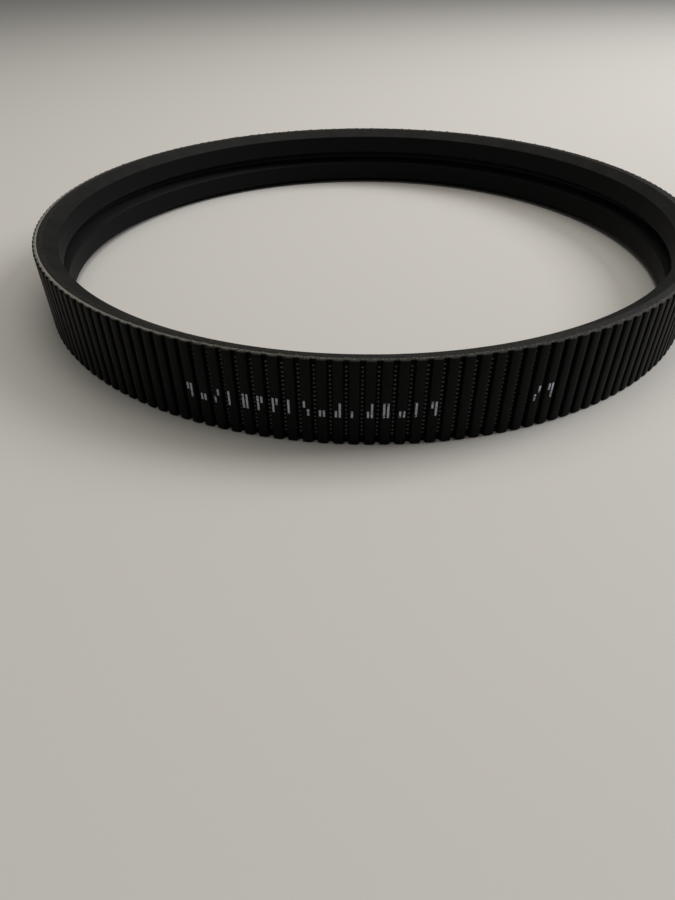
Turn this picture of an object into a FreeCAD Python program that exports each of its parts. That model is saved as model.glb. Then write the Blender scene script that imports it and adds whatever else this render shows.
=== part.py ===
"""A joined V belt of cast polyurethane, lying on its side as a free ring.

Two 60 degree V strands stand inside one tie band, two tensile cords are wound side by side in
channels round the band, and a transverse-ribbed back is cast over it.
Millimetres. The origin is on the floor under the middle of the ring, and +Z is the ring's axis.
"""
import FreeCAD, Part
import os
import Sketcher

doc = FreeCAD.newDocument("joined_v_belt")
axis_z = FreeCAD.Vector(0, 0, 1)

# Driving dimensions: alias, value, what it is
DIMENSIONS = [
    ("effective_length", 730.0, "length of the belt along its effective line"),
    ("strand_root_width", 12.2, "width of a strand where it meets the tie band"),
    ("strand_gap", 1.0, "land of the tie band between the strands' roots"),
    ("flank_angle", 30.0, "half of the V angle, degrees"),
    ("strand_depth", 4.33, "radial height of a strand, inner face to tie band"),
    ("inner_edge_radius", 0.3, "rounding of a strand's two inner edges"),
    ("root_offset", 0.45, "effective line to the strand's root, radially"),
    ("tie_thickness", 1.82, "thickness of the tie band"),
    ("web_thickness", 0.25, "thickness of the ribbed back under a groove"),
    ("rib_height", 1.4, "groove floor to rib top"),
    ("rib_count", 186, "ribs round the belt"),
    ("rib_phase", 0.6, "angle of the first groove's middle from +X, degrees"),
    ("groove_floor_width", 1.1, "width of a groove at its floor"),
    ("groove_top_width", 1.4, "width of a groove below the ribs' broken edges"),
    ("rib_edge", 0.3, "size of the break along a rib's top edges"),
    ("rib_end_break", 0.5, "size of the break along the ribs' ends at the belt's sides"),
    ("cord_diameter", 0.8, "diameter of one cord"),
    ("cord_spacing", 1.27, "axial distance between neighbouring turns"),
    ("cord_cover", 0.05, "space between the cords and the ribbed back"),
    ("ink_thickness", 0.04, "thickness of the printed ink"),
    ("ink_height", 4.3, "axial height of the printed bars"),
    ("ink_bottom", 8.9, "height of the bars' lower end above the floor"),
    ("ink_bar_width", 1.5, "width of one printed bar"),
    ("long_mark_bars", 17, "bars in the long printed mark, one to a rib"),
    ("long_mark_rib", 126, "number of the rib with the first bar of the long mark"),
    ("short_mark_bars", 2, "bars in the short printed mark"),
    ("short_mark_rib", 149, "number of the rib with the first bar of the short mark"),
]

# Sizes that follow from the driving dimensions: alias, formula, what it is
DERIVED = [
    ("effective_radius", "effective_length / (2 * pi)", "radius of the effective line"),
    ("strand_pitch", "strand_root_width + strand_gap", "from strand to strand"),
    ("belt_width", "strand_pitch + strand_root_width", "width over both strands"),
    ("root_radius", "effective_radius + root_offset", "strands meet the tie band"),
    ("inner_radius", "root_radius - strand_depth", "strands' inner faces"),
    ("face_width", "strand_root_width - 2 * strand_depth * tan(flank_angle)", "inner face"),
    ("band_radius", "root_radius + tie_thickness", "tie band's outer face"),
    ("cord_radius", "band_radius - cord_cover - cord_diameter / 2", "cords' centre line"),
    ("floor_radius", "band_radius + web_thickness", "groove floors"),
    ("outer_radius", "floor_radius + rib_height", "rib tops"),
    ("turn_count", "floor((belt_width - cord_diameter) / cord_spacing)", "turns of both cords"),
    ("first_cord_turns", "ceil(turn_count / 2)", "turns of the cord at the belt's sides"),
    ("second_cord_turns", "floor(turn_count / 2)", "turns of the cord between them"),
    ("first_turn", "(belt_width - (turn_count - 1) * cord_spacing) / 2", "first turn's height"),
    ("rib_angle", "360 / rib_count", "angle from rib to rib"),
    ("bar_angle", "360 * ink_bar_width / (2 * pi * outer_radius)", "angle of a printed bar"),
]

sheet = doc.addObject("Spreadsheet::Sheet", "dimensions")
for row, (alias, value, note) in enumerate(DIMENSIONS, start=1):
    sheet.set(f"A{row}", note)
    sheet.set(f"B{row}", str(value))
    sheet.setAlias(f"B{row}", alias)
for row, (alias, formula, note) in enumerate(DERIVED, start=len(DIMENSIONS) + 1):
    sheet.set(f"A{row}", note)
    sheet.set(f"B{row}", "=" + formula.replace("tan(flank_angle)", "tan(flank_angle * 1 deg)"))
    sheet.setAlias(f"B{row}", alias)
doc.recompute()
aliases = [entry[0] for entry in DIMENSIONS + DERIVED]


def bound(formula):
    """Turn a formula of spaced aliases into an expression that reads the sheet."""
    return " ".join(f"dimensions.{word}" if word in aliases else word for word in formula.split())


def size(formula):
    """The formula's present value."""
    return float(sheet.evalExpression(bound(formula)))


def new_body(name):
    body = doc.addObject("PartDesign::Body", name)
    body.Label = name
    return body


def new_sketch(body, name, role):
    """An empty sketch on one of the body's own origin planes."""
    sketch = body.newObject("Sketcher::SketchObject", name)
    plane = next(item for item in body.Origin.OriginFeatures if item.Role == role)
    sketch.AttachmentSupport = [(plane, "")]
    sketch.MapMode = "FlatFace"
    return sketch


def hold_point(sketch, geometry, end, place):
    """Tie one point of a sketch to the sheet by two formulas, one for each direction."""
    for kind, formula in zip(("DistanceX", "DistanceY"), place):
        rule = Sketcher.Constraint(kind, -1, 1, geometry, end, size(formula))
        sketch.setExpression(f"Constraints[{sketch.addConstraint(rule)}]", bound(formula))


def draw_outline(sketch, places):
    """A closed outline of straight lines through the places, each a pair of formulas."""
    points = [FreeCAD.Vector(size(across), size(up), 0) for across, up in places]
    for index, start in enumerate(points):
        sketch.addGeometry(Part.LineSegment(start, points[(index + 1) % len(points)]))
    for index, place in enumerate(places):
        sketch.addConstraint(Sketcher.Constraint("Coincident", index - 1 if index else
                                                 len(places) - 1, 2, index, 1))
        hold_point(sketch, index, 1, place)


def draw_circle(sketch, place, diameter):
    """A circle with its centre at a place, a pair of formulas."""
    centre = FreeCAD.Vector(size(place[0]), size(place[1]), 0)
    circle = sketch.addGeometry(Part.Circle(centre, axis_z, size(diameter) / 2))
    hold_point(sketch, circle, 3, place)
    rule = sketch.addConstraint(Sketcher.Constraint("Diameter", circle, size(diameter)))
    sketch.setExpression(f"Constraints[{rule}]", bound(diameter))


def revolve(body, sketch, kind="PartDesign::Revolution", angle="360"):
    """Carry a sketch round the ring's axis, adding or cutting."""
    feature = body.newObject(kind, sketch.Name + "_ring")
    feature.Profile = sketch
    feature.ReferenceAxis = (sketch, ["V_Axis"])
    feature.setExpression("Angle", bound(angle))
    sketch.Visibility = False
    doc.recompute()
    return feature


def repeat_up(body, features, sketch, spacing, count):
    """Repeat features along the ring's axis, one spacing apart."""
    pattern = body.newObject("PartDesign::LinearPattern", body.Name + "_turns")
    pattern.Originals = features
    pattern.Direction = (sketch, ["V_Axis"])
    pattern.setExpression("Length", bound(f"( {count} - 1 ) * {spacing}"))
    pattern.setExpression("Occurrences", bound(count))
    body.Tip = pattern
    doc.recompute()


def repeat_round(body, feature, count, angle):
    """Repeat a feature, or the whole body if it is None, round the ring's axis over an angle."""
    pattern = body.newObject("PartDesign::PolarPattern", body.Name + "_round")
    if feature:
        pattern.Originals = [feature]
    else:
        pattern.TransformMode = "Whole shape"
        pattern.Refine = False
    z_axis = next(item for item in body.Origin.OriginFeatures if item.Role == "Z_Axis")
    pattern.Axis = (z_axis, [""])
    pattern.setExpression("Angle", bound(angle))
    pattern.setExpression("Occurrences", bound(count))
    body.Tip = pattern
    doc.recompute()


def edges_at(feature, radius):
    """Names of the feature's round edges that have one radius, given as a formula."""
    return [
        f"Edge{number}" for number, edge in enumerate(feature.Shape.Edges, start=1)
        if hasattr(edge.Curve, "Radius") and abs(edge.Curve.Radius - size(radius)) < 0.001
    ]


def make_strand(name, middle):
    """One V strand: a ring of trapezoid section, narrow face inwards, inner edges rounded."""
    body = new_body(name)
    sketch = new_sketch(body, name + "_section", "XZ_Plane")
    draw_outline(sketch, [
        ("root_radius", f"{middle} - strand_root_width / 2"),
        ("root_radius", f"{middle} + strand_root_width / 2"),
        ("inner_radius", f"{middle} + face_width / 2"),
        ("inner_radius", f"{middle} - face_width / 2"),
    ])
    ring = revolve(body, sketch)
    fillet = body.newObject("PartDesign::Fillet", name + "_inner_edges")
    fillet.Base = (ring, edges_at(ring, "inner_radius"))
    fillet.setExpression("Radius", bound("inner_edge_radius"))
    doc.recompute()
    return body


def make_tie_band():
    """The band that joins the strands at their roots, with a U channel for each cord turn."""
    body = new_body("tie_band")
    sketch = new_sketch(body, "tie_section", "XZ_Plane")
    draw_outline(sketch, [
        ("root_radius", "0"),
        ("band_radius", "0"),
        ("band_radius", "belt_width"),
        ("root_radius", "belt_width"),
    ])
    revolve(body, sketch)
    floor = new_sketch(body, "channel_floor", "XZ_Plane")
    draw_circle(floor, ("cord_radius", "first_turn"), "cord_diameter")
    floor_cut = revolve(body, floor, "PartDesign::Groove")
    mouth = new_sketch(body, "channel_mouth", "XZ_Plane")
    draw_outline(mouth, [
        ("cord_radius", "first_turn - cord_diameter / 2"),
        ("band_radius", "first_turn - cord_diameter / 2"),
        ("band_radius", "first_turn + cord_diameter / 2"),
        ("cord_radius", "first_turn + cord_diameter / 2"),
    ])
    mouth_cut = revolve(body, mouth, "PartDesign::Groove")
    repeat_up(body, [floor_cut, mouth_cut], floor, "cord_spacing", "turn_count")
    return body


def make_cord(name, offset, count):
    """One tensile cord. Every second turn across the belt is its own, drawn as a closed ring."""
    body = new_body(name)
    sketch = new_sketch(body, name + "_section", "XZ_Plane")
    draw_circle(sketch, ("cord_radius", f"first_turn + {offset} * cord_spacing"), "cord_diameter")
    turn = revolve(body, sketch)
    repeat_up(body, [turn], sketch, "2 * cord_spacing", count)
    return body


def make_ribbed_back():
    """The cover round the band: one groove between two half ribs, repeated round the ring."""
    body = new_body("ribbed_back")
    section = new_sketch(body, "back_section", "XZ_Plane")
    draw_outline(section, [
        ("band_radius", "0"),
        ("outer_radius", "0"),
        ("outer_radius", "belt_width"),
        ("band_radius", "belt_width"),
    ])
    sector = revolve(body, section, angle="rib_angle")
    sector.Midplane = True
    doc.recompute()
    rib_ends = body.newObject("PartDesign::Chamfer", "rib_ends")
    rib_ends.Base = (sector, edges_at(sector, "outer_radius"))
    rib_ends.setExpression("Size", bound("rib_end_break"))
    groove = new_sketch(body, "groove_section", "XY_Plane")
    draw_outline(groove, [
        ("floor_radius", "- groove_floor_width / 2"),
        ("outer_radius - rib_edge", "- groove_top_width / 2"),
        ("outer_radius + rib_edge", "- groove_top_width / 2 - 2 * rib_edge"),
        ("outer_radius + rib_edge", "groove_top_width / 2 + 2 * rib_edge"),
        ("outer_radius - rib_edge", "groove_top_width / 2"),
        ("floor_radius", "groove_floor_width / 2"),
    ])
    pocket = body.newObject("PartDesign::Pocket", "groove")
    pocket.Profile = groove
    pocket.Type = "ThroughAll"
    pocket.Reversed = True
    groove.Visibility = False
    doc.recompute()
    repeat_round(body, None, "rib_count", "360")
    body.setExpression("Placement.Rotation.Angle", bound("rib_phase"))
    return body


def make_print(name, first_rib, count):
    """A row of plain ink bars, one on the middle of each rib top."""
    body = new_body(name)
    sketch = new_sketch(body, name + "_section", "XZ_Plane")
    draw_outline(sketch, [
        ("outer_radius", "ink_bottom"),
        ("outer_radius + ink_thickness", "ink_bottom"),
        ("outer_radius + ink_thickness", "ink_bottom + ink_height"),
        ("outer_radius", "ink_bottom + ink_height"),
    ])
    bar = revolve(body, sketch, angle="bar_angle")
    bar.Midplane = True
    doc.recompute()
    repeat_round(body, bar, count, f"( {count} - 1 ) * rib_angle")
    body.setExpression("Placement.Rotation.Angle",
                       bound(f"rib_phase + ( {first_rib} + 0.5 ) * rib_angle"))
    return body


pieces = [
    make_strand("lower_strand", "strand_root_width / 2"),
    make_strand("upper_strand", "strand_root_width / 2 + strand_pitch"),
    make_tie_band(),
    make_cord("tensile_cord_s_twist", 0, "first_cord_turns"),
    make_cord("tensile_cord_z_twist", 1, "second_cord_turns"),
    make_ribbed_back(),
    make_print("long_print_mark", "long_mark_rib", "long_mark_bars"),
    make_print("short_print_mark", "short_mark_rib", "short_mark_bars"),
]
doc.recompute()

for item in doc.Objects:
    if "Invalid" in item.State or "Error" in item.State:
        raise RuntimeError(f"{item.Label} failed: {item.State}")
for piece in pieces:
    if piece.Shape.isNull() or not piece.Shape.isValid():
        raise RuntimeError(f"{piece.Label} has no sound shape")
    box = piece.Shape.BoundBox
    print(f"{piece.Label}: {len(piece.Shape.Solids)} solids, {piece.Shape.Volume:.1f} mm3, "
          f"z {box.ZMin:.2f} to {box.ZMax:.2f}, across {box.XLength:.2f}")

os.makedirs("parts", exist_ok=True)
for piece in pieces:
    piece.Shape.exportStep(f"parts/{piece.Label}.step")
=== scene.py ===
"""A joined V belt of cast polyurethane, lying on its side as a free ring.

Lengths are written in millimetres and turned to metres where a mesh is made.
The ring's axis is Z, and the belt rests on the floor at Z = 0.
"""
import math
import bpy
import numpy as np
from mathutils import Matrix, Vector


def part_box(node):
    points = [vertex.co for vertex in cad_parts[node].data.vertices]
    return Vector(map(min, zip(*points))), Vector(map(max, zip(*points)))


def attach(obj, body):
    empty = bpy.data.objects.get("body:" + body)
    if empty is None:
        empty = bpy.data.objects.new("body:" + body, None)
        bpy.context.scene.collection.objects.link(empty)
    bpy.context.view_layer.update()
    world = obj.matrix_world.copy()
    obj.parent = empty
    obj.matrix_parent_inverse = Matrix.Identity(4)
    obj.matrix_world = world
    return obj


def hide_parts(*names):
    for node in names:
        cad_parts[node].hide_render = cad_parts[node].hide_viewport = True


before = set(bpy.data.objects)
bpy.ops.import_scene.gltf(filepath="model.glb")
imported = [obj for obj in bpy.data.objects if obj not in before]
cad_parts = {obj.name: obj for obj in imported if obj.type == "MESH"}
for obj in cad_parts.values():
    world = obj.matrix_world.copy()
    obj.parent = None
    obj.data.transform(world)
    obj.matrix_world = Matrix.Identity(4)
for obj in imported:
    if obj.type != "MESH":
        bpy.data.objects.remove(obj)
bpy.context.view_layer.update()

# ---------------------------------------------------------------------------------------------
# The two V strands. Each is a ring of cast polyurethane with 60 degree flanks, which wedge into
# a pulley's groove, and a narrow face on the inside. They are cast in one with the band.
# ---------------------------------------------------------------------------------------------
MM = 0.001
lower_box = [np.array(corner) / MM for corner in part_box("lower_strand")]
upper_box = [np.array(corner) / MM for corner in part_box("upper_strand")]
strand_width = lower_box[1][2] - lower_box[0][2]
root_radius = lower_box[1][0]
strand_depth = 4.33
flank_angle = 30       # half of the V, in degrees
flank_slope = math.tan(math.radians(flank_angle))
strand_edge = 0.35     # rounding of the inner face's two edges
strand_wave = 0.10     # unevenness of the inner face, in and out
strand_sway = 0.12     # the same, up and down
strand_steps = 720


def ring_mesh(name, around, section, closed_round=True):
    """A mesh on a grid of points.

    `section` has shape (steps round, points of the section, 3), in millimetres, or one more axis
    in front for separate tubes. The section is a closed loop. The way round is closed as well, or
    it ends in two flat caps. A face joins step i to i + 1 and point j to j + 1, so it faces
    outwards when the loop runs upwards on the ring's outer side. The UV map "along" holds the
    distance round, and the distance over the section, in metres.
    """
    tubes = section.reshape(-1, *section.shape[-3:])
    count, steps, points = tubes.shape[:3]
    t, i, j = np.meshgrid(np.arange(count), np.arange(steps if closed_round else steps - 1),
                          np.arange(points), indexing="ij")
    i2, j2 = (i + 1) % steps, (j + 1) % points
    corners = [(i, j), (i2, j), (i2, j2), (i, j2)]
    quads = np.stack([(t * steps + a) * points + b for a, b in corners], -1).reshape(-1, 4)
    first = np.arange(count)[:, None] * steps * points
    caps = np.empty((0, points), dtype=int)
    if not closed_round:
        start_caps = first + np.arange(points)
        end_caps = first + (steps - 1) * points + np.arange(points)[::-1]
        caps = np.concatenate([start_caps, end_caps])
    corner_list = np.concatenate([quads.reshape(-1), caps.reshape(-1)]).astype(np.int32)
    starts = np.concatenate([np.arange(len(quads)) * 4,
                             quads.size + np.arange(len(caps)) * points]).astype(np.int32)
    mesh = bpy.data.meshes.new(name)
    mesh.vertices.add(count * steps * points)
    mesh.vertices.foreach_set("co", (tubes.reshape(-1) * MM).astype(np.float32))
    mesh.loops.add(len(corner_list))
    mesh.loops.foreach_set("vertex_index", corner_list)
    mesh.polygons.add(len(starts))
    mesh.polygons.foreach_set("loop_start", starts)
    mesh.polygons.foreach_set("use_smooth", np.arange(len(starts)) < len(quads))
    mesh.update(calc_edges=True)
    lengths = np.linalg.norm(np.roll(tubes, -1, axis=2) - tubes, axis=3)
    over = np.concatenate([np.zeros((count, steps, 1)), np.cumsum(lengths, axis=2)], axis=2)
    round_way = np.append(around, 2 * around[-1] - around[-2])
    flat = [np.stack([round_way[i + a], over[t, (i + a) % steps, j + b]], -1)
            for a, b in ((0, 0), (1, 0), (1, 1), (0, 1))]
    uv = np.zeros((len(corner_list), 2))
    uv[:quads.size] = np.stack(flat, -2).reshape(-1, 2) * MM
    mesh.uv_layers.new(name="along").data.foreach_set("uv", uv.reshape(-1).astype(np.float32))
    piece = bpy.data.objects.new(name, mesh)
    bpy.context.scene.collection.objects.link(piece)
    return piece


def turned(angles, radius, height):
    """Places of a ring: each point's radius and height turned to its angle about Z."""
    angles = np.asarray(angles)[:, None] + np.zeros_like(radius)
    return np.stack([radius * np.cos(angles), radius * np.sin(angles),
                     height + np.zeros_like(angles)], -1)


def arc(centre, size, start, end, count):
    """Points of an arc in the section plane, angles in degrees."""
    turn = np.radians(np.linspace(start, end, count))
    return np.stack([centre[0] + size * np.cos(turn), centre[1] + size * np.sin(turn)], -1)


def line(start, end, count):
    """Points from start up to, and without, end."""
    share = np.linspace(0, 1, count, endpoint=False)[:, None]
    return np.array(start) + share * (np.array(end) - np.array(start))


def ripple(angles, seed, most, size):
    """Slow unevenness round a ring: `size` times the mean of six seeded sine waves.

    Each wave has 2 or more periods round the ring, but fewer than `most`, and its own phase.
    """
    count = 6
    rng = np.random.default_rng(seed)
    waves = rng.integers(2, most, count)
    phases = rng.uniform(0, 2 * np.pi, count)
    return size * np.sin(np.outer(angles, waves) + phases).sum(axis=1) / count


def strand_section(middle):
    """The trapezoid with two rounded inner edges, as a loop that runs up its root side."""
    half_root = strand_width / 2
    half_face = half_root - strand_depth * flank_slope
    inner_radius = root_radius - strand_depth
    reach = strand_edge * math.tan(math.radians((90 - flank_angle) / 2))
    corner_step = 0.01
    top_centre = (inner_radius + strand_edge, middle + half_face - reach)
    low_centre = (inner_radius + strand_edge, middle - half_face + reach)
    top_arc = arc(top_centre, strand_edge, 90 + flank_angle, 180, 5)
    low_arc = arc(low_centre, strand_edge, 180, 270 - flank_angle, 5)
    top_root = np.array((root_radius, middle + half_root))
    low_root = np.array((root_radius, middle - half_root))
    # A step close to each root corner keeps the flank's shading flat right up to the band.
    top_step = top_root + corner_step * (top_arc[0] - top_root)
    low_step = low_root + corner_step * (low_arc[-1] - low_root)
    return np.concatenate([
        line(low_root, top_root, 3),
        line(top_root, top_step, 1),
        line(top_step, top_arc[0], 8),
        top_arc,
        line(top_arc[-1], low_arc[0], 9)[1:],
        low_arc,
        line(low_arc[-1], low_step, 8)[1:],
        line(low_step, low_root, 1),
    ])


def srgb(code):
    """A colour written as sRGB hex, as linear red, green, blue and alpha."""
    parts = [int(code[k:k + 2], 16) / 255 for k in (1, 3, 5)]
    return [c / 12.92 if c < 0.04045 else ((c + 0.055) / 1.055) ** 2.4 for c in parts] + [1.0]


def add_node(tree, kind, settings=(), inputs=()):
    """Add a node, set its properties, then give each input a value or a link."""
    node = tree.nodes.new(kind)
    for key, value in dict(settings).items():
        setattr(node, key, value)
    for key, value in dict(inputs).items():
        if isinstance(value, bpy.types.NodeSocket):
            tree.links.new(value, node.inputs[key])
        else:
            node.inputs[key].default_value = value
    return node


def new_material(name, roughness, specular):
    """A material with one Principled shader, and the shader's node tree."""
    material = bpy.data.materials.new(name)
    material.use_nodes = True
    tree = material.node_tree
    shader = tree.nodes["Principled BSDF"]
    shader.inputs["Roughness"].default_value = roughness
    shader.inputs["Specular IOR Level"].default_value = specular
    shader.inputs["IOR"].default_value = 1.5
    return material, tree, shader


def blend_colours(tree, share, dark, light):
    """A colour between two, by a share from 0 to 1."""
    mix = add_node(tree, "ShaderNodeMix", {"data_type": "RGBA"})
    tree.links.new(share, mix.inputs[0])
    for socket, colour in ((6, dark), (7, light)):
        if isinstance(colour, bpy.types.NodeSocket):
            tree.links.new(colour, mix.inputs[socket])
        else:
            mix.inputs[socket].default_value = srgb(colour)
    return mix.outputs[2]


def upward_share(tree, low, high):
    """0 where a surface stands upright or looks down, 1 where it looks up: partly settled dust,
    partly painted light from above.
    """
    geometry = add_node(tree, "ShaderNodeNewGeometry")
    parts = add_node(tree, "ShaderNodeSeparateXYZ", inputs={"Vector": geometry.outputs["Normal"]})
    share = add_node(tree, "ShaderNodeMapRange",
                     inputs={"Value": parts.outputs["Z"], "From Min": low, "From Max": high})
    return share.outputs[0]


def finish_piece(piece, material, slot, *nodes):
    """Give a finished piece its material and its body, and hide the CAD nodes it stands for. The
    slot is not used.
    """
    piece.data.materials.append(material)
    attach(piece, "root")
    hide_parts(*nodes)


# Cast polyurethane, satin and nearly black. Lines 25 mm long and 0.2 mm apart run round the
# flanks from the turned mould, on a grain of 0.3 mm. Flanks that look up are khaki in 8 mm
# patches, partly a dry bloom and partly painted light from above; painted shade darkens the lower
# strand.
strand_finish, tree, shader = new_material("cast_polyurethane_lathe_marked", 0.5, 0.10)
along = add_node(tree, "ShaderNodeUVMap", {"uv_map": "along"})
stretch = add_node(tree, "ShaderNodeMapping",
                   inputs={"Vector": along.outputs[0],
                           "Scale": (1 / (25 * MM), 1 / (0.2 * MM), 1)})
lathe = add_node(tree, "ShaderNodeTexNoise",
                 inputs={"Vector": stretch.outputs[0], "Scale": 1.0, "Detail": 3.0})
place = add_node(tree, "ShaderNodeTexCoord")
bloom = add_node(tree, "ShaderNodeTexNoise",
                 inputs={"Vector": place.outputs["Object"], "Scale": 1 / (8 * MM), "Detail": 5.0})
grain = add_node(tree, "ShaderNodeTexNoise",
                 inputs={"Vector": place.outputs["Object"], "Scale": 1 / (0.3 * MM),
                         "Detail": 2.0})
bloom_share = add_node(tree, "ShaderNodeMapRange",
                       inputs={"Value": bloom.outputs[0], "From Min": 0.35, "From Max": 0.7})
bloomed = blend_colours(tree, bloom_share.outputs[0], "#12120f", "#1b1a16")
place_parts = add_node(tree, "ShaderNodeSeparateXYZ", inputs={"Vector": place.outputs["Object"]})
# Painted shade: the flanks are darker lower down, most of all on the lower strand.
painted_height_shade = add_node(tree, "ShaderNodeMapRange",
                   inputs={"Value": place_parts.outputs["Z"], "From Min": 12 * MM,
                           "From Max": 21 * MM, "To Min": 0.35, "To Max": 1.0})
# Flanks that look up turn khaki: partly dust, partly painted light from above.
dust_and_top_light_share = add_node(tree, "ShaderNodeMath", {"operation": "MULTIPLY"},
                      {0: painted_height_shade.outputs[0], 1: upward_share(tree, 0.3, 0.8)})
tree.links.new(blend_colours(tree, dust_and_top_light_share.outputs[0], "#0a0a0b", bloomed),
               shader.inputs["Base Color"])
rough = add_node(tree, "ShaderNodeMapRange",
                 inputs={"Value": lathe.outputs[0], "To Min": 0.5, "To Max": 0.7})
tree.links.new(rough.outputs[0], shader.inputs["Roughness"])
height = add_node(tree, "ShaderNodeMath", {"operation": "ADD"},
                  {0: lathe.outputs[0], 1: grain.outputs[0]})
bump = add_node(tree, "ShaderNodeBump",
                inputs={"Height": height.outputs[0], "Strength": 0.25, "Distance": 0.03 * MM})
tree.links.new(bump.outputs[0], shader.inputs["Normal"])

# The free ring's strands run a little uneven, most at the inner face and not at all at the root.
strand_angles = np.linspace(0, 2 * np.pi, strand_steps, endpoint=False)
for number, (node, box) in enumerate((("lower_strand", lower_box), ("upper_strand", upper_box))):
    loop = strand_section((box[0][2] + box[1][2]) / 2)
    depth = (root_radius - loop[:, 0]) / strand_depth
    wave = ripple(strand_angles, 10 + number, 14, strand_wave)[:, None] * depth
    sway = ripple(strand_angles, 20 + number, 10, strand_sway)[:, None] * depth
    places = turned(strand_angles, loop[None, :, 0] + wave, loop[None, :, 1] + sway)
    piece = ring_mesh("cast_" + node, strand_angles * root_radius, places)
    finish_piece(piece, strand_finish, "strand_polyurethane", node)

# ---------------------------------------------------------------------------------------------
# The tie band. A flat ring of the same casting that joins the strands' roots. Its two sides were
# trimmed with a blade after casting: the upper cut has rubbed grey, partly painted light from
# above, and keeps faint blade marks.
# ---------------------------------------------------------------------------------------------
band_box = [np.array(corner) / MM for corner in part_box("tie_band")]
belt_width = band_box[1][2] - band_box[0][2]
band_outer = band_box[1][0]
band_edge = 0.04         # a tiny bevel along the cut edges
cut_mark_size = 0.02
band_steps = 1116

band_loop = np.concatenate([
    line((band_outer, band_edge), (band_outer, belt_width - band_edge), 4),
    line((band_outer, belt_width - band_edge), (band_outer - band_edge, belt_width), 1),
    line((band_outer - band_edge, belt_width), (root_radius + band_edge, belt_width), 7),
    line((root_radius + band_edge, belt_width), (root_radius, belt_width - band_edge), 1),
    line((root_radius, belt_width - band_edge), (root_radius, band_edge), 12),
    line((root_radius, band_edge), (root_radius + band_edge, 0), 1),
    line((root_radius + band_edge, 0), (band_outer - band_edge, 0), 7),
    line((band_outer - band_edge, 0), (band_outer, band_edge), 1),
])
band_angles = np.linspace(0, 2 * np.pi, band_steps, endpoint=False)
rng = np.random.default_rng(5)
cut_marks = rng.normal(0, cut_mark_size, (band_steps, len(band_loop)))
on_top = band_loop[:, 1] > belt_width - band_edge / 2
band_height = band_loop[None, :, 1] + cut_marks * on_top
band = ring_mesh("trimmed_tie_band", band_angles * root_radius,
                 turned(band_angles, band_loop[None, :, 0] + np.zeros_like(band_height),
                        band_height))

# Blade-cut polyurethane: a matt khaki grey in flecks about 1 mm across where the cut looks up,
# partly rubbed grey and partly painted light from above, and the black of the casting elsewhere.
band_finish, tree, shader = new_material("cut_polyurethane_rubbed_and_top_lit", 0.65, 0.14)
place = add_node(tree, "ShaderNodeTexCoord")
rub = add_node(tree, "ShaderNodeTexNoise",
               inputs={"Vector": place.outputs["Object"], "Scale": 1 / (1.1 * MM), "Detail": 4.0})
rub_share = add_node(tree, "ShaderNodeMapRange",
                     inputs={"Value": rub.outputs[0], "From Min": 0.38, "From Max": 0.66})
cut_side = blend_colours(tree, rub_share.outputs[0], "#171613", "#272520")
# Painted light from above: faces that look up get the lighter grey.
tree.links.new(blend_colours(tree, upward_share(tree, 0.5, 0.9), "#0a0a0b", cut_side),
               shader.inputs["Base Color"])
bump = add_node(tree, "ShaderNodeBump",
                inputs={"Height": rub.outputs[0], "Strength": 0.5, "Distance": 0.1 * MM})
tree.links.new(bump.outputs[0], shader.inputs["Normal"])
finish_piece(band, band_finish, "band_polyurethane", "tie_band")

# ---------------------------------------------------------------------------------------------
# The two tensile cords. Twisted polyester, wound side by side round the band, one laid with an
# S twist and one with a Z twist. They cross each groove of the back as a row of small bumps.
# ---------------------------------------------------------------------------------------------
cord_diameter = 0.8
cord_spacing = 1.27
rib_count = 186
rib_phase = math.radians(0.6)
rib_angle = 2 * math.pi / rib_count
groove_floor = 118.58
cord_radius = groove_floor - 0.17   # a cord's middle, just under the groove floors
cord_bulge = 0.22                   # how far it stands out where a groove bares it
bulge_reach = 0.32                  # over which distance from the groove's middle
cord_wander = 0.05                  # unevenness of the winding, up and down
s_turns = 9.2
z_turns = 8.7
cord_rows = 19                      # rows of cord, counted up the belt
start_drop = 0.3                    # a helix starts this far under the lowest row
first_height = (belt_width - (cord_rows - 1) * cord_spacing) / 2 - start_drop


def cord_helix(name, start_height, turns):
    """A tube along a helix of two cord spacings a turn.

    A point's place is the helix's place at its angle plus a circle in the plane of the ring's
    radius and axis, which has most of its points on the outer side, where they show. In a groove,
    where nothing presses on the cord, it bulges outwards by
    cord_bulge * exp(-(d / bulge_reach) ** 2) at a distance d from the groove's middle. Each rib
    has five steps in its groove and one under its middle.
    """
    ribs = int(turns * rib_count)
    half_pitch = math.pi * cord_radius / rib_count
    distance = np.array([-0.5, -0.25, 0, 0.25, 0.5, half_pitch])
    angles = (np.arange(ribs)[:, None] * rib_angle + distance / cord_radius).reshape(-1)
    middle = start_height + 2 * cord_spacing * angles / (2 * np.pi)
    bulge = np.tile(cord_bulge * np.exp(-(distance / bulge_reach) ** 2), ribs)
    wander = ripple(angles, 7, 40, cord_wander)
    turn = np.radians([-90, -60, -30, 0, 30, 60, 90, 180])
    radius = cord_radius + bulge[:, None] + cord_diameter / 2 * np.cos(turn)
    height = (middle + wander)[:, None] + cord_diameter / 2 * np.sin(turn)
    return ring_mesh(name, angles * cord_radius, turned(angles + rib_phase, radius, height), False)


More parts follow.
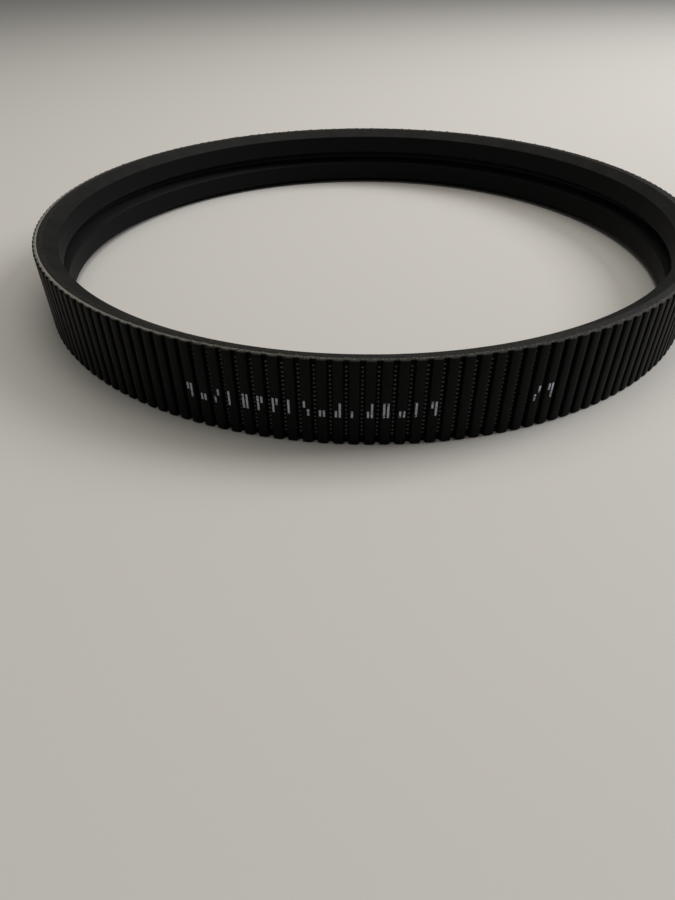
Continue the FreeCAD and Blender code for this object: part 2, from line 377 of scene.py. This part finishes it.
# Polyester cord, bared by the mould's teeth: dark yarn, glossy with a skin of polyurethane. The
# yarns show as slanting bands that repeat every 0.7 mm along the cord. A diagonal wave at scale 1
# repeats every 2 pi / 10.
lay_pitch = 0.7
cord_finish, tree, shader = new_material("polyester_cord_bared", 0.22, 0.7)
along = add_node(tree, "ShaderNodeUVMap", {"uv_map": "along"})
lay = add_node(tree, "ShaderNodeTexWave", {"wave_type": "BANDS", "bands_direction": "DIAGONAL"},
               {"Vector": along.outputs[0], "Scale": 2 * math.pi / (10 * lay_pitch * MM),
                "Distortion": 1.0})
tree.links.new(blend_colours(tree, lay.outputs["Fac"], "#0d0d0c", "#282724"),
               shader.inputs["Base Color"])
bump = add_node(tree, "ShaderNodeBump",
                inputs={"Height": lay.outputs["Fac"], "Strength": 0.4, "Distance": 0.05 * MM})
tree.links.new(bump.outputs[0], shader.inputs["Normal"])

s_cord = cord_helix("tensile_cord_s_lay", first_height, s_turns)
finish_piece(s_cord, cord_finish, "tensile_cord", "tensile_cord_s_twist")
z_cord = cord_helix("tensile_cord_z_lay", first_height + cord_spacing, z_turns)
finish_piece(z_cord, cord_finish, "tensile_cord", "tensile_cord_z_twist")

# ---------------------------------------------------------------------------------------------
# The ribbed back. Cast over the cords in a mould with a tooth for each groove, so the ribs are
# broad and slightly crowned with rounded edges. A thin ragged flash is left along the trimmed
# rim, and it also closes each groove's upper end.
# ---------------------------------------------------------------------------------------------
back_box = [np.array(corner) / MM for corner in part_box("ribbed_back")]
outer_radius = float(back_box[1][0])
rib_height = outer_radius - groove_floor
rib_pitch = 2 * math.pi * outer_radius / rib_count
groove_half = 0.50     # half of a groove's floor
wall_lean = 0.16       # how far a rib's wall leans back
rib_round = 0.45       # rounding of a rib's long edges
rib_crown = 0.06       # crown of a rib's top, as a share of its height
end_round = 0.5        # rounding of the ribs' ends
scatter_room = 0.03    # the ribs are this much lower, to leave room for the next two
rib_scatter = 0.015    # unevenness from rib to rib
rib_ripple = 0.02      # unevenness along the belt
flash_least = 0.05     # the flash's least height
flash_scatter = 0.22   # how much more it has, from point to point
flash_lean = 0.04      # how far its crest leans in or out, from point to point
flash_radii = groove_floor + np.array([0.62, 0.34, 0.06])   # outer foot, crest, inner foot
fill_share = 0.72      # share of a rib's height that flash fills at a groove's upper end
fill_reach = 0.95      # where that filling begins, under the upper side
fill_rise = 0.75       # the length over which it rises


def rib_profile():
    """Half of one rib's cross-section, from the groove's middle to the rib's middle.

    Each point is a distance round the belt and a share of the rib's height: a floor that curves
    up into the leaning wall, a quarter round, and a top whose crown is rib_crown of the height.
    """
    wall_top = 1 - rib_round / rib_height - rib_crown
    quarter = np.radians(np.linspace(180, 90, 6))
    edge_x = groove_half + wall_lean + rib_round + rib_round * np.cos(quarter)
    edge_y = wall_top + rib_round / rib_height * np.sin(quarter)
    floor_x = groove_half * np.array([0, 0.45, 0.7, 0.87, 1.0])
    floor_y = np.array([0, 0.01, 0.05, 0.13, 0.26])
    middle = rib_pitch / 2
    across = np.concatenate([floor_x, edge_x, [(edge_x[-1] + middle) / 2, middle]])
    up = np.concatenate([floor_y, edge_y, [1 - rib_crown / 4, 1.0]])
    return across, up


half_across, half_up = rib_profile()
rib_across = np.concatenate([half_across, rib_pitch - half_across[-2:0:-1]])
rib_up = np.concatenate([half_up, half_up[-2:0:-1]])
rib_points = len(rib_across)
rib_number = np.repeat(np.arange(rib_count), rib_points)
back_angles = rib_phase + (rib_number + np.tile(rib_across, rib_count) / rib_pitch) * rib_angle

# The outer side of the section's loop: its heights, and the share of the rib's height that it has
# at each of them. The share is 1 but for the rounded ends.
end_turn = np.radians([0, 25, 50, 70, 90])
low_heights = end_round * (1 - np.cos(end_turn))
low_shares = 1 - end_round / rib_height * (1 - np.sin(end_turn))
inner_heights = np.linspace(end_round, belt_width - 2 * end_round, 7)[1:]
loop_height = np.concatenate([low_heights, inner_heights, belt_width - low_heights[::-1]])
loop_share = np.concatenate([low_shares, np.ones(len(inner_heights)), low_shares[::-1]])

# The rest of the loop: a raised ragged line of flash over the foot of the ribs, a narrow flat to
# the band, the hidden side on the band, and a flat out again below.
rim_heights = np.array([belt_width, belt_width, belt_width, belt_width, 0.0, 0.0])
rim_radii = np.concatenate([flash_radii, [band_outer, band_outer, groove_floor]])
crest = len(loop_height) + 1

# Flash fills each groove's upper end, so the floor rises over the last millimetre.
fill_start = belt_width - fill_reach
filled = fill_share * np.clip((loop_height - fill_start) / fill_rise, 0, 1) ** 1.5

rng = np.random.default_rng(3)
tall = rng.normal(0, rib_scatter, rib_count)[rib_number][:, None]
uneven = ripple(back_angles, 31, 60, rib_ripple)[:, None]
up = np.tile(rib_up, rib_count)[:, None]
rise = rib_height - scatter_room + tall + uneven
outer = groove_floor + rise * np.maximum(up, filled) * loop_share
rim = np.zeros((len(back_angles), len(rim_radii))) + rim_radii
flash = np.abs(rng.normal(0, flash_scatter, len(back_angles)))
# The flash is tallest at the grooves, where the mould's teeth met the band.
flash = (flash + np.roll(flash, 1) + np.roll(flash, 2)) / 3 * (1.3 - 0.6 * up[:, 0])
rim[:, 1] += rng.normal(0, flash_lean, len(back_angles))
radius = np.concatenate([outer, rim], axis=1)
heights = np.zeros_like(radius) + np.concatenate([loop_height, rim_heights])
heights[:, crest] += flash_least + flash
back = ring_mesh("ribbed_cover", back_angles * outer_radius,
                 turned(back_angles, radius, heights))

# How much each point is rubbed: most along the flash, by half or less over the ribs' ends. All of
# it is paler towards the side whose middle is at 205 degrees.
end_rub = 0.5
flash_rub = [0.75, 0.95, 1.0, 0.95]   # a rib end's inner edge, then the flash's three radii
far_side_share = 0.62
paler_side = math.radians(205)
from_end = np.minimum(heights, belt_width - heights)
rubbed = end_rub * np.clip(1 - from_end / end_round, 0, 1)
rubbed[:, crest - 2:crest + 2] = flash_rub
rubbed[:, crest + 2:] = 0
facing = np.clip(np.cos(back_angles - paler_side), 0, 1)[:, None]
rubbed *= far_side_share + (1 - far_side_share) * facing ** 3
layer = back.data.attributes.new("rubbed", "FLOAT", "POINT")
layer.data.foreach_set("value", rubbed.reshape(-1).astype(np.float32))

# Moulded polyurethane, near black and satin, with a sand-like grain of 0.4 mm from the mould.
# Handling has left faint grey smears some 4 mm across on the rib tops, the ribs' upper ends are
# khaki with dust and painted light from above, and the flash is rubbed pale.
back_finish, tree, shader = new_material("moulded_polyurethane_satin_black", 0.5, 0.08)
place = add_node(tree, "ShaderNodeTexCoord")
smear = add_node(tree, "ShaderNodeTexNoise",
                 inputs={"Vector": place.outputs["Object"], "Scale": 1 / (4 * MM), "Detail": 6.0,
                         "Roughness": 0.7})
grain = add_node(tree, "ShaderNodeTexNoise",
                 inputs={"Vector": place.outputs["Object"], "Scale": 1 / (0.4 * MM),
                         "Detail": 3.0})
smear_share = add_node(tree, "ShaderNodeMapRange",
                       inputs={"Value": smear.outputs[0], "From Min": 0.48, "From Max": 0.8})
skin = blend_colours(tree, smear_share.outputs[0], "#070707", "#121211")
# Surfaces that look up turn khaki: partly dust, partly painted light from above.
dusty_and_top_lit = blend_colours(tree, upward_share(tree, 0.3, 0.9), skin, "#26251f")
rub_layer = add_node(tree, "ShaderNodeAttribute", {"attribute_name": "rubbed"})
ragged = add_node(tree, "ShaderNodeMath", {"operation": "MULTIPLY_ADD"},
                  {0: grain.outputs[0], 1: 0.8, 2: rub_layer.outputs["Fac"]})
rub_share = add_node(tree, "ShaderNodeMapRange",
                     inputs={"Value": ragged.outputs[0], "From Min": 0.95, "From Max": 1.5})
tree.links.new(blend_colours(tree, rub_share.outputs[0], dusty_and_top_lit, "#86837a"),
               shader.inputs["Base Color"])
rough = add_node(tree, "ShaderNodeMapRange",
                 inputs={"Value": smear.outputs[0], "To Min": 0.4, "To Max": 0.62})
tree.links.new(rough.outputs[0], shader.inputs["Roughness"])
bump = add_node(tree, "ShaderNodeBump",
                inputs={"Height": grain.outputs[0], "Strength": 0.35, "Distance": 0.06 * MM})
tree.links.new(bump.outputs[0], shader.inputs["Normal"])
finish_piece(back, back_finish, "back_polyurethane", "ribbed_back")

# ---------------------------------------------------------------------------------------------
# The printed marks. White ink rolled over the rib tops after moulding. Here they are plain
# upright bars in a running row, some whole and some halved, two on each rib top.
# ---------------------------------------------------------------------------------------------
ink_lift = 0.03      # the bars' outer face, over the rib tops' radius
ink_root = 0.10      # how deep they reach into the rib tops
ink_height = 4.3
ink_bottom = 8.9
ink_width = 0.55
long_mark_rib = 126
short_mark_rib = 149


def ink_row(name, first_rib, ribs, seed):
    """A row of upright ink bars, each a thin closed block that follows the rib top's curve.

    Two bars stand on each rib top, 1 mm apart. A bar is whole, or only about its upper or lower
    half, by a seeded choice. Every fourth rib keeps one bar, which parts the row into groups.
    """
    rng = np.random.default_rng(seed)
    rib = np.repeat(np.arange(ribs), 2)
    side = np.tile([-0.5, 0.5], ribs)
    kept = (rib % 4 != 3) | (side < 0)
    rib, side = rib[kept], side[kept]
    share_low = rng.choice([0.0, 0.0, 0.0, 0.55], len(rib))
    share_high = np.where(share_low > 0, 1.0, rng.choice([1.0, 1.0, 0.45], len(rib)))
    middle = rib_phase + (first_rib + rib + 0.5) * rib_angle + side / outer_radius
    across = np.linspace(-0.5, 0.5, 4) * ink_width
    angle = middle[:, None, None] + across[:, None] / outer_radius
    radius = outer_radius + np.array([-ink_root, ink_lift, ink_lift, -ink_root])
    low, span = share_low[:, None, None], (share_high - share_low)[:, None, None]
    share = low + span * [0.0, 0.0, 1.0, 1.0]
    places = np.stack([radius * np.cos(angle), radius * np.sin(angle),
                       ink_bottom + ink_height * share + np.zeros_like(angle)], -1)
    return ring_mesh(name, across, places, False)


# Pigment ink, matt white, worn thin: where it has rubbed off, in spots of 0.7 mm, the black rib
# shows.
ink_finish, tree, shader = new_material("rolled_white_ink_worn", 0.6, 0.3)
place = add_node(tree, "ShaderNodeTexCoord")
loss = add_node(tree, "ShaderNodeTexNoise",
                inputs={"Vector": place.outputs["Object"], "Scale": 1 / (0.7 * MM), "Detail": 4.0})
loss_share = add_node(tree, "ShaderNodeMapRange",
                      inputs={"Value": loss.outputs[0], "From Min": 0.32, "From Max": 0.46})
tree.links.new(blend_colours(tree, loss_share.outputs[0], "#35373a", "#b4b9c2"),
               shader.inputs["Base Color"])
long_mark = ink_row("long_row_of_ink_bars", long_mark_rib, 17, 2)
finish_piece(long_mark, ink_finish, "printing_ink", "long_print_mark")
short_mark = ink_row("short_row_of_ink_bars", short_mark_rib, 2, 4)
finish_piece(short_mark, ink_finish, "printing_ink", "short_print_mark")

# ---------------------------------------------------------------------------------------------
# The studio: a plain pale floor, one soft light on the right like a window, a wider one overhead
# like a ceiling, a dim fill all round, and the camera close in front. Its places are in metres.
# ---------------------------------------------------------------------------------------------
floor_mesh = bpy.data.meshes.new("studio_floor")
floor_reach = 6.0
floor_mesh.from_pydata([(-floor_reach, -floor_reach, 0), (floor_reach, -floor_reach, 0),
                        (floor_reach, floor_reach, 0), (-floor_reach, floor_reach, 0)], [],
                       [(0, 1, 2, 3)])
floor = bpy.data.objects.new("studio_floor", floor_mesh)
bpy.context.scene.collection.objects.link(floor)
floor_finish, tree, shader = new_material("matt_pale_paper", 0.8, 0.2)
shader.inputs["Base Color"].default_value = srgb("#c4c0b8")
floor.data.materials.append(floor_finish)


def soft_light(name, place, aim, size, power, colour):
    """A square area light at a place, aimed at a point, both in metres."""
    data = bpy.data.lights.new(name, "AREA")
    data.shape = "RECTANGLE"
    data.size, data.size_y = size
    data.energy = power
    data.color = srgb(colour)[:3]
    light = bpy.data.objects.new(name, data)
    light.location = place
    direction = Vector(aim) - Vector(place)
    light.rotation_euler = direction.to_track_quat("-Z", "Y").to_euler()
    bpy.context.scene.collection.objects.link(light)


soft_light("window", (1.05, 0.32, 0.92), (0.1, 0.3, 0), (0.7, 0.7), 15, "#f6f8ff")
soft_light("ceiling", (0.1, 0.18, 0.95), (0.1, 0.18, 0), (0.9, 0.9), 5.6, "#fffdf8")
world = bpy.data.worlds.new("studio_air")
world.use_nodes = True
background = world.node_tree.nodes["Background"]
background.inputs["Color"].default_value = srgb("#d6d6d6")
background.inputs["Strength"].default_value = 0.23
bpy.context.scene.world = world
bpy.context.scene.view_settings.view_transform = "Standard"

# The camera stands 103 mm above the floor, 249 mm in front of the ring's middle and 11 mm to the
# left of it, tipped down by 38.9 degrees and rolled by less than one.
camera_data = bpy.data.cameras.new("camera")
camera_data.sensor_width = 36.0
camera_data.lens = 25.2
camera_data.clip_start = 0.01
camera = bpy.data.objects.new("camera", camera_data)
tip, roll = math.radians(38.9), math.radians(-0.62)
right = Vector((math.cos(roll), math.sin(roll) * math.sin(tip), math.sin(roll) * math.cos(tip)))
upward = Vector((-math.sin(roll), math.cos(roll) * math.sin(tip), math.cos(roll) * math.cos(tip)))
turn = Matrix((right, upward, right.cross(upward))).transposed()
camera.matrix_world = Matrix.Translation((-0.01109, -0.24939, 0.10297)) @ turn.to_4x4()
bpy.context.scene.collection.objects.link(camera)
bpy.context.scene.camera = camera
